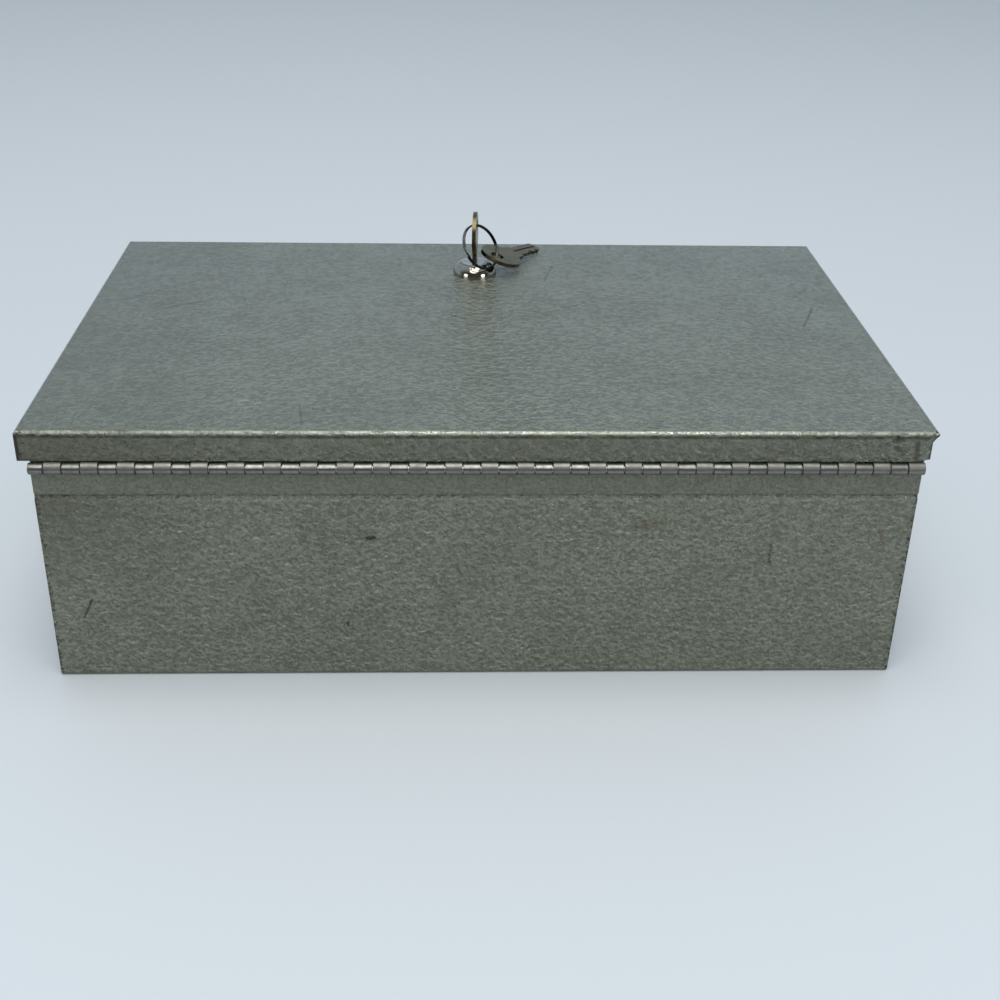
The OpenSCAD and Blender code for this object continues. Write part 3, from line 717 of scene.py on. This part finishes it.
# %% One leaf with its rolled tabs
def rolled_leaf(name, node, body, rises, first, tall):
    low, high = (Vector(corner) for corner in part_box(node))
    reach = (high.z - pin_axis.z) if rises > 0 else (pin_axis.z - low.z)
    heights = [pin_axis.z + rises * h for h in (0, notch, reach)]
    own = [tab_span(i) for i in range(first, tabs, 2)]
    lines = sorted({-strip_end, strip_end} | {x for span in own for x in span})
    bm = bmesh.new()
    back = pin_axis.y - barrel
    points = {(x, z): bm.verts.new((x, back, z)) for x in lines for z in heights}
    for x, to_x in zip(lines, lines[1:]):
        wide = any(abs(x - a) < 1e-7 and abs(to_x - b) < 1e-7 for a, b in own)
        levels = heights if wide else heights[1:]
        for z, to_z in zip(levels, levels[1:]):
            bm.faces.new([points[x, z], points[to_x, z], points[to_x, to_z], points[x, to_z]])
    bmesh.ops.delete(bm, geom=[v for v in bm.verts if not v.link_faces], context="VERTS")
    grown = bmesh.ops.extrude_face_region(bm, geom=bm.faces[:], use_keep_orig=True)
    front = [v for v in grown["geom"] if isinstance(v, bmesh.types.BMVert)]
    bmesh.ops.translate(bm, vec=(0, leaf, 0), verts=front)
    bmesh.ops.recalc_face_normals(bm, faces=bm.faces)
    ends = [face for face in bm.faces
            if abs(face.calc_center_median().z - pin_axis.z) < 1e-7 and abs(face.normal.z) > 0.9]
    bmesh.ops.spin(bm, geom=ends, cent=pin_axis, axis=(1, 0, 0), angle=rises * roll,
                   steps=roll_steps)
    bmesh.ops.remove_doubles(bm, verts=bm.verts, dist=1e-7)
    bmesh.ops.recalc_face_normals(bm, faces=bm.faces)
    for v in bm.verts:
        if v.co.y > pin_axis.y - bore + 1e-6 and v.co.z > pin_axis.z:
            v.co.z += tall * (v.co.z - pin_axis.z)
    rim = {v for v in bm.verts
           if abs(v.co.z - heights[-1]) < 1e-7 and abs(v.co.y - back - leaf) < 1e-7}
    long_edge = [edge for edge in bm.edges if set(edge.verts) <= rim]
    bmesh.ops.bevel(bm, geom=long_edge, offset=fold, offset_type="OFFSET", affect="EDGES",
                    segments=3, profile=0.5, material=-1)
    piece = make_piece(name, bm, hinge_finish, body, node)
    round_edges(piece, cut_edge, 2, 50)


# %% [markdown]
# The strips were welded on before painting, so their flat parts wear the same paint as the box.
# On the rolled tabs the paint has rubbed through to bright steel, and old oil and dirt sit in the
# joints between them. The lower half of each tab is painted darker as shade, and a dark band just
# below its middle is a painted reflection of the dim room. How far a point lies from the pin tells
# tab from strip, and the fraction left over when its place along the pin is divided by the pitch
# tells how near a joint it is.

# %% Which part of the hinge a point belongs to
hinge_finish = Finish("hinge_finish")
pitch_mm = pitch / MM
pin_y_mm, pin_z_mm = pin_axis.y / MM, pin_axis.z / MM
from_pin = ((hinge_finish.y - pin_y_mm).power(2) + (hinge_finish.z - pin_z_mm).power(2)).power(0.5)
from_end = hinge_finish.x + strip_end / MM
streaks = hinge_finish.noise(0.6, 4.0, 0.65, stretch=(0.3, 1, 1))
blotches = hinge_finish.ramp(hinge_finish.noise(3.0, 3.0, 0.6), 0.3, 0.7)
flat_part = hinge_finish.ramp(from_pin + streaks * 0.4, 2.75, 3.1)
along_tab = (from_end / pitch_mm).math("FRACT")
from_joint = along_tab.lower(1 - along_tab) * pitch_mm
joint = 1 - hinge_finish.ramp(from_joint + streaks * 0.1, 0.2, 0.5)
along_pair = (from_end / (2 * pitch_mm)).math("FRACT")
lid_tab = 1 - hinge_finish.ramp(along_pair, 0.49, 0.51)
low = pin_z_mm - hinge_finish.z
# a dark band just below the middle of the tabs: a painted reflection of the dim room
dark_reflection_band = hinge_finish.near(low, -0.45, 0.15, 0.6)
print("tabs of", round(pitch_mm, 2), "mm")

# %% Finish of the hinge
BRIGHT_STEEL = grey(0.3, 0.03, 0.05)
DULL_STEEL = grey(0.1, 0.06, 0.06)
# the lower half of the tabs painted darker: painted shade
shaded_underside = hinge_finish.ramp(low, 0.0, 0.8)
steel = hinge_finish.mix(streaks * 0.5 + blotches * 0.4, BRIGHT_STEEL, DULL_STEEL)
steel = hinge_finish.mix(lid_tab * 0.45, steel, grey(0.2, 0.05, 0.05))
# painted shade on the lower half and the painted dark reflection band
steel = hinge_finish.mix(shaded_underside * 0.3 + dark_reflection_band * 0.4, steel, grey(*DARK))
steel = hinge_finish.mix(joint * 0.85, steel, grey(*DARK))
coat, _, coat_height = enamel(hinge_finish, 1.3)
coat = hinge_finish.mix(0.28, coat, ENAMEL_DIRT_AND_SHADE)
hinge_finish.set("Base Color", hinge_finish.mix(flat_part, steel, coat))
hinge_finish.set("Metallic", 0.9 - flat_part * 0.6 - joint * (1 - flat_part) * 0.5)
hinge_finish.set("Roughness", streaks * 0.16 + blotches * 0.06 + lid_tab * 0.12 + 0.22)
hinge_finish.set("Normal", hinge_finish.bump(coat_height * flat_part * 6 + streaks * 0.25, 0.18))

# %% [markdown]
# The first tab at one end belongs to the lid's strip, the next one to the body's, and so on.

# %% Roll both strips
rolled_leaf("hinge_strip_body", "hinge_leaf_body", "box", -1, 1, 0.0)
rolled_leaf("hinge_strip_lid", "hinge_leaf_lid", "lid", 1, 0, 0.2)

# %% [markdown]
# ## Lock
#
# The lock's head is a turned, chromed dome, so half of its section is drawn once and spun about
# the lock's axis. The barrel below it is spun too, with the grooves of its thread, and then cut
# along its two flats.

# %% Sizes of the lock
plug_face_r = 6.25 * MM
head_r = 9.8 * MM
head_h = 5.4 * MM
dome_r = 4.6 * MM
barrel_len = 15.2 * MM
plug_bore = 5.45 * MM
lip = 0.4 * MM
plug_seat = head_h - 1.25 * MM
thread_pitch = 1.5 * MM
thread_depth = 0.4 * MM
flank = 0.4 * MM
neck = -sheet - 1.3 * MM
first_crest = -sheet - 1.7 * MM
head_steps = 96
barrel_steps = 64


# %% Turn a section about the lock's axis
def turned(bm, section, steps):
    """Spins a closed section, given as radius and height above the lid, about the lock's axis."""
    points = [bm.verts.new((lock_axis.x + r, lock_axis.y, lock_axis.z + z)) for r, z in section]
    edges = [bm.edges.new(pair) for pair in zip(points, points[1:] + points[:1])]
    bmesh.ops.spin(bm, geom=points + edges, cent=lock_axis, axis=(0, 0, 1), angle=2 * pi,
                   steps=steps, use_merge=True)
    bmesh.ops.remove_doubles(bm, verts=bm.verts, dist=1e-7)
    bmesh.ops.recalc_face_normals(bm, faces=bm.faces)


# %% The head and the barrel
angles = [radians(6 * i) for i in range(13)]
dome = [(head_r - dome_r + dome_r * cos(angle), head_h * sin(angle)) for angle in angles]
bm = bmesh.new()
turned(bm, [(plug_bore, 0), (plug_bore, plug_seat), (plug_face_r, plug_seat),
            (plug_face_r, head_h - lip)] + dome[::-1], head_steps)
thread = [(barrel_r, neck)]
crest = first_crest
while crest > -barrel_len + thread_pitch:
    root = (barrel_r - thread_depth, crest - flank)
    thread += [(barrel_r, crest), root, (barrel_r, crest - 2 * flank)]
    crest -= thread_pitch
barrel_top = [(plug_bore, 0), (barrel_r, 0)]
barrel_end = [(barrel_r, -barrel_len), (plug_bore, -barrel_len)]
barrel_bm = bmesh.new()
turned(barrel_bm, barrel_top + thread + barrel_end, barrel_steps)
keep_between_flats(barrel_bm, lock_axis.x, barrel_flats)
barrel_mesh = bpy.data.meshes.new("barrel")
barrel_bm.to_mesh(barrel_mesh)
barrel_bm.free()
bm.from_mesh(barrel_mesh)
bpy.data.meshes.remove(barrel_mesh)
make_piece("lock_body", bm, chrome, "lid", "lock_housing")

# %% [markdown]
# ## Keys
#
# A key is stamped from flat stock and tumbled, so all its edges are slightly round. Its outline
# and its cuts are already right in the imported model: a merged copy of that mesh takes the bevel.

# %% Keys with rounded edges
def softened(name, node, finish, body):
    bm = bmesh.new()
    bm.from_mesh(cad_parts[node].data)
    bmesh.ops.remove_doubles(bm, verts=bm.verts, dist=1e-6)
    bmesh.ops.dissolve_limit(bm, angle_limit=radians(1), verts=bm.verts, edges=bm.edges)
    piece = make_piece(name, bm, finish, body, node)
    round_edges(piece, worn_edge, 2, 35)


softened("lock_key", "door_key", key_metal, "key")
softened("hanging_key", "spare_key", key_metal, "spare")

# %% [markdown]
# ## Split ring
#
# A split ring is one wire wound twice, and the two turns lie side by side. They run flat, apart
# from one short step where the wire crosses from the first turn to the second. Three spins draw
# it: a flat turn, the step, and a second flat turn. The wire's section is an octagon, turned by
# half a side so that the turns meet along a flat.

# %% Wind the ring
ring_r = 10 * MM
wire = 0.9 * MM
wire_sides = 8
half_side = radians(180 / wire_sides)
flattened = (0.92, 0.92, 1)
turn_pitch = 0.81 * MM
step_angle = radians(24)
flat_turn = 2 * pi - step_angle
origin = (0, 0, 0)
bm = bmesh.new()
bmesh.ops.create_circle(bm, cap_ends=True, radius=wire / 2, segments=wire_sides)
bmesh.ops.scale(bm, vec=flattened, verts=bm.verts)
for angle, axis in ((half_side, "Z"), (radians(90), "X")):
    bmesh.ops.rotate(bm, cent=origin, matrix=Matrix.Rotation(angle, 3, axis), verts=bm.verts)
bmesh.ops.translate(bm, vec=(ring_r, 0, -turn_pitch / 2), verts=bm.verts)
last = bm.faces[:]
for angle, rise, steps in ((flat_turn, 0, 60), (step_angle, turn_pitch, 6), (flat_turn, 0, 60)):
    wound = bmesh.ops.spin(bm, geom=last, cent=origin, axis=(0, 0, 1), dvec=(0, 0, rise / steps),
                           angle=angle, steps=steps)
    last = [face for face in wound["geom_last"] if isinstance(face, bmesh.types.BMFace)]
bmesh.ops.recalc_face_normals(bm, faces=bm.faces)
print("wire:", len(bm.faces), "faces")

# %% [markdown]
# The ring is wound about the origin. One matrix then stands it up, hangs it by its rim from the
# hole of the key in the lock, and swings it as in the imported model.

# %% Hang the ring in the key
key_hole = lock_axis + Vector((0, 0, 22.1 * MM))
swung, tipped, leaning = radians(50), radians(31), radians(-13)
upright = radians(90)
hang = (Matrix.Translation(key_hole) @ Matrix.Rotation(swung, 4, "Z")
        @ Matrix.Rotation(tipped, 4, "X") @ Matrix.Rotation(leaning, 4, "Y")
        @ Matrix.Translation((0, 0, -ring_r)) @ Matrix.Rotation(upright, 4, "X"))
bmesh.ops.transform(bm, matrix=hang, verts=bm.verts)
make_piece("wound_ring", bm, dark_steel, "ring", "split_ring")

# %% [markdown]
# ## Floor, backdrop and light
#
# One pale sheet is both the floor and the backdrop, because it runs on far behind the box.

# %% Floor and backdrop
floor_reach = 6
floor_finish = Finish("pale_table", Roughness=0.6)
floor_finish.set("Base Color", (0.58, 0.616, 0.646, 1))
bm = bmesh.new()
bmesh.ops.create_grid(bm, x_segments=1, y_segments=1, size=floor_reach)
floor_mesh = bpy.data.meshes.new("floor")
bm.to_mesh(floor_mesh)
bm.free()
floor = bpy.data.objects.new("floor", floor_mesh)
bpy.context.scene.collection.objects.link(floor)
floor_mesh.materials.append(floor_finish.material)
print("floor:", 2 * floor_reach, "m wide")

# %% [markdown]
# The light is plain and soft, at a level at which a colour renders about as it is written. A wide
# lamp hangs above the box, and another stands high behind the camera. Two round ones low on the
# camera's side put the pair of bright points on the chromed dome.


# %% Lamps
def soft_lamp(name, place, target, size, watts):
    data = bpy.data.lights.new(name, "AREA")
    data.shape = "DISK"
    data.size = size
    data.energy = watts
    lamp = bpy.data.objects.new(name, data)
    lamp.location = place
    lamp.rotation_euler = (Vector(target) - Vector(place)).to_track_quat("-Z", "Y").to_euler()
    bpy.context.scene.collection.objects.link(lamp)


middle_of_box = (0, 0, 0.05)
soft_lamp("ceiling", (0.0, 0.1, 2.2), (0, 0, 0), 1.3, 16)
soft_lamp("room", (0.15, 1.25, 2.05), middle_of_box, 1.7, 23)
soft_lamp("left_lamp", (1.55, 1.25, 0.5), middle_of_box, 0.8, 6)
soft_lamp("right_lamp", (-1.4, 1.4, 0.5), middle_of_box, 0.8, 8)
print("lamps:", len(bpy.data.lights))

# %% [markdown]
# The room itself is bright overhead and dim towards the horizon on the camera's side, which draws
# the dark band along the hinge. Its far wall and its sides are pale, and the lid and the chrome
# reflect them. The direction of a ray, read from the world's own coordinates, mixes the three.

# %% Light of the room
DIM_HORIZON = (0.09, 0.09, 0.083, 1)
BRIGHT_CEILING = (0.56, 0.6, 0.61, 1)
PALE_WALL = (0.5, 0.6, 0.7, 1)
world = bpy.data.worlds.new("room_light")
world.use_nodes = True
sky = Nodes(world.node_tree, "Generated", 1.0)
background = sky.nodes["Background"]
overhead = sky.ramp(sky.z - sky.y * 0.45, 0.15, 0.85)
behind = sky.ramp(sky.x.size() * 0.6 - sky.y, 0.1, 0.8)
room_colour = sky.mix(overhead, DIM_HORIZON, BRIGHT_CEILING)
sky.join(background.inputs["Color"], sky.mix(behind, room_colour, PALE_WALL))
background.inputs["Strength"].default_value = 1.0
bpy.context.scene.world = world
bpy.context.scene.view_settings.view_transform = "Standard"
print("world:", world.name)
